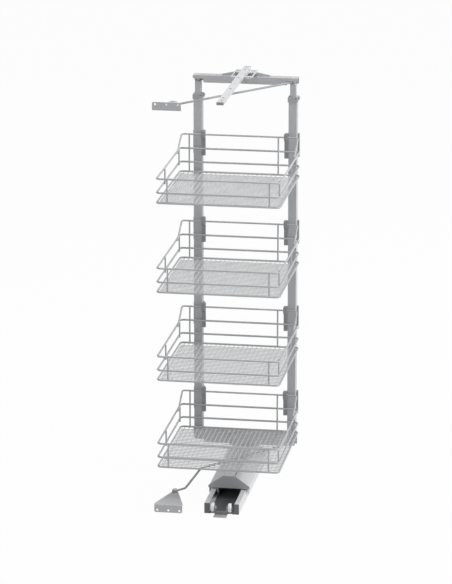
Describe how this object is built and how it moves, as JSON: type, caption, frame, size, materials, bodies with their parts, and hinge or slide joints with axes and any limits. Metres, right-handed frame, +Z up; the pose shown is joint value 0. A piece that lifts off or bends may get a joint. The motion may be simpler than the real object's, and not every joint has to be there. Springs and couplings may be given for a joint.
{
  "type": "pull out pantry frame",
  "caption": "Tall pull-out larder frame: floor runner with hood, telescopic posts with wire baskets, top guide rail and arms that tie it to the door.",
  "frame": {"origin": "on the cabinet floor, under the runner's centre line and the baskets' back wire", "axes": "X to the right, Y to the back of the cabinet, Z up"},
  "size_m": [0.3554, 0.511, 1.2083],
  "materials": {
    "painted_frame": "silver grey powder coat",
    "painted_wire": "silver grey coated wire",
    "aluminium": "satin anodised extrusion",
    "zinc_steel": "bright zinc plate",
    "dark_steel": "dark phosphated sheet",
    "dark_plastic": "moulded grey plastic",
    "white_plastic": "moulded white nylon"
  },
  "bodies": {
    "runner": {"runner_base": "dark_steel", "left_track": "aluminium", "right_track": "aluminium", "track_end_caps": "dark_plastic", "track_rivets": "zinc_steel", "front_axles": "zinc_steel"},
    "front_rollers": {"front_rollers": "white_plastic"},
    "pull_frame": {"runner_hood": "aluminium", "hood_front_cap": "dark_plastic", "hood_rear_cap": "dark_plastic", "carriage_channel": "dark_steel", "guide_shoes": "white_plastic", "hood_blocks": "painted_frame", "carriage_axles": "zinc_steel", "carriage_saddle": "painted_frame", "saddle_bolts": "zinc_steel", "rail_screws": "zinc_steel", "bottom_rail": "painted_frame", "left_post": "painted_frame", "right_post": "painted_frame", "left_collar": "dark_plastic", "right_collar": "dark_plastic", "collar_screws": "dark_steel", "bottom_pivot_pin": "zinc_steel", "left_hanger_1": "dark_plastic", "left_hanger_2": "dark_plastic", "left_hanger_3": "dark_plastic", "left_hanger_4": "dark_plastic", "right_hanger_1": "dark_plastic", "right_hanger_2": "dark_plastic", "right_hanger_3": "dark_plastic", "right_hanger_4": "dark_plastic"},
    "carriage_rollers": {"carriage_rollers": "white_plastic"},
    "top_frame": {"left_inner_tube": "painted_frame", "right_inner_tube": "painted_frame", "tube_glides": "dark_plastic", "top_rail": "painted_frame", "top_pivot_pins": "zinc_steel", "guide_bracket": "painted_frame", "guide_plate": "zinc_steel", "guide_pins": "zinc_steel"},
    "front_guide_roller": {"front_guide_roller": "dark_plastic"},
    "rear_guide_roller": {"rear_guide_roller": "dark_plastic"},
    "ceiling_rail": {"ceiling_rail": "zinc_steel", "ceiling_rail_stops": "dark_plastic"},
    "top_arm": {"top_arm": "painted_wire"},
    "bottom_arm": {"bottom_arm": "painted_wire"},
    "top_bracket": {"top_bracket": "painted_frame", "top_bracket_pin": "zinc_steel"},
    "bottom_bracket": {"bottom_bracket": "painted_frame", "bottom_bracket_pin": "zinc_steel"},
    "basket_1": {"basket_1": "painted_wire", "basket_floor_1": "painted_wire"},
    "basket_2": {"basket_2": "painted_wire", "basket_floor_2": "painted_wire"},
    "basket_3": {"basket_3": "painted_wire", "basket_floor_3": "painted_wire"},
    "basket_4": {"basket_4": "painted_wire", "basket_floor_4": "painted_wire"}
  },
  "joints": [
    {"name": "pull_out", "type": "slide", "parent": "runner", "child": "pull_frame", "axis": [0, -1, 0], "range_m": [0, 0.365]},
    {"name": "front_roller_spin", "type": "hinge", "parent": "runner", "child": "front_rollers", "pos_m": [0, -0.415, 0.0205], "axis": [1, 0, 0], "continuous": true},
    {"name": "carriage_roller_spin", "type": "hinge", "parent": "pull_frame", "child": "carriage_rollers", "pos_m": [0, 0.036, 0.0158], "axis": [1, 0, 0], "continuous": true},
    {"name": "telescope", "type": "slide", "parent": "pull_frame", "child": "top_frame", "axis": [0, 0, 1], "range_m": [-0.025, 0.1]},
    {"name": "ceiling_rail_slide", "type": "slide", "parent": "top_frame", "child": "ceiling_rail", "axis": [0, 1, 0], "range_m": [0, 0.365]},
    {"name": "front_guide_roller_spin", "type": "hinge", "parent": "top_frame", "child": "front_guide_roller", "pos_m": [0, -0.046, 1.2042], "axis": [0, 0, 1], "continuous": true},
    {"name": "rear_guide_roller_spin", "type": "hinge", "parent": "top_frame", "child": "rear_guide_roller", "pos_m": [0, 0.03, 1.2042], "axis": [0, 0, 1], "continuous": true},
    {"name": "top_arm_swing", "type": "hinge", "parent": "top_frame", "child": "top_arm", "pos_m": [0.139, 0.023, 1.172], "axis": [0, 0, 1], "range_deg": [0, 34]},
    {"name": "bottom_arm_swing", "type": "hinge", "parent": "pull_frame", "child": "bottom_arm", "pos_m": [0.139, 0.023, 0.08], "axis": [0, 0, 1], "range_deg": [0, 34]},
    {"name": "top_bracket_swing", "type": "hinge", "parent": "top_arm", "child": "top_bracket", "pos_m": [-0.15, -0.329, 1.1807], "axis": [0, 0, 1], "range_deg": [0, 57]},
    {"name": "bottom_bracket_swing", "type": "hinge", "parent": "bottom_arm", "child": "bottom_bracket", "pos_m": [-0.15, -0.329, 0.0276], "axis": [0, 0, 1], "range_deg": [0, 57]},
    {"name": "basket_1_lift", "type": "slide", "parent": "pull_frame", "child": "basket_1", "axis": [0, 0, 1], "range_m": [0, 0.02]},
    {"name": "basket_2_lift", "type": "slide", "parent": "pull_frame", "child": "basket_2", "axis": [0, 0, 1], "range_m": [0, 0.02]},
    {"name": "basket_3_lift", "type": "slide", "parent": "pull_frame", "child": "basket_3", "axis": [0, 0, 1], "range_m": [0, 0.02]},
    {"name": "basket_4_lift", "type": "slide", "parent": "pull_frame", "child": "basket_4", "axis": [0, 0, 1], "range_m": [0, 0.02]}
  ],
  "couplings": [
    {"joint": "front_roller_spin", "follows": "pull_out", "rad_per_m": 76.923},
    {"joint": "carriage_roller_spin", "follows": "pull_out", "rad_per_m": 90.909},
    {"joint": "ceiling_rail_slide", "follows": "pull_out", "ratio": 1},
    {"joint": "front_guide_roller_spin", "follows": "pull_out", "rad_per_m": 120.48},
    {"joint": "rear_guide_roller_spin", "follows": "pull_out", "rad_per_m": 120.48},
    {"joint": "top_arm_swing", "follows": "pull_out", "rad_per_m": 1.6162},
    {"joint": "bottom_arm_swing", "follows": "pull_out", "rad_per_m": 1.6162},
    {"joint": "top_bracket_swing", "follows": "pull_out", "rad_per_m": 2.6873},
    {"joint": "bottom_bracket_swing", "follows": "pull_out", "rad_per_m": 2.6873}
  ]
}
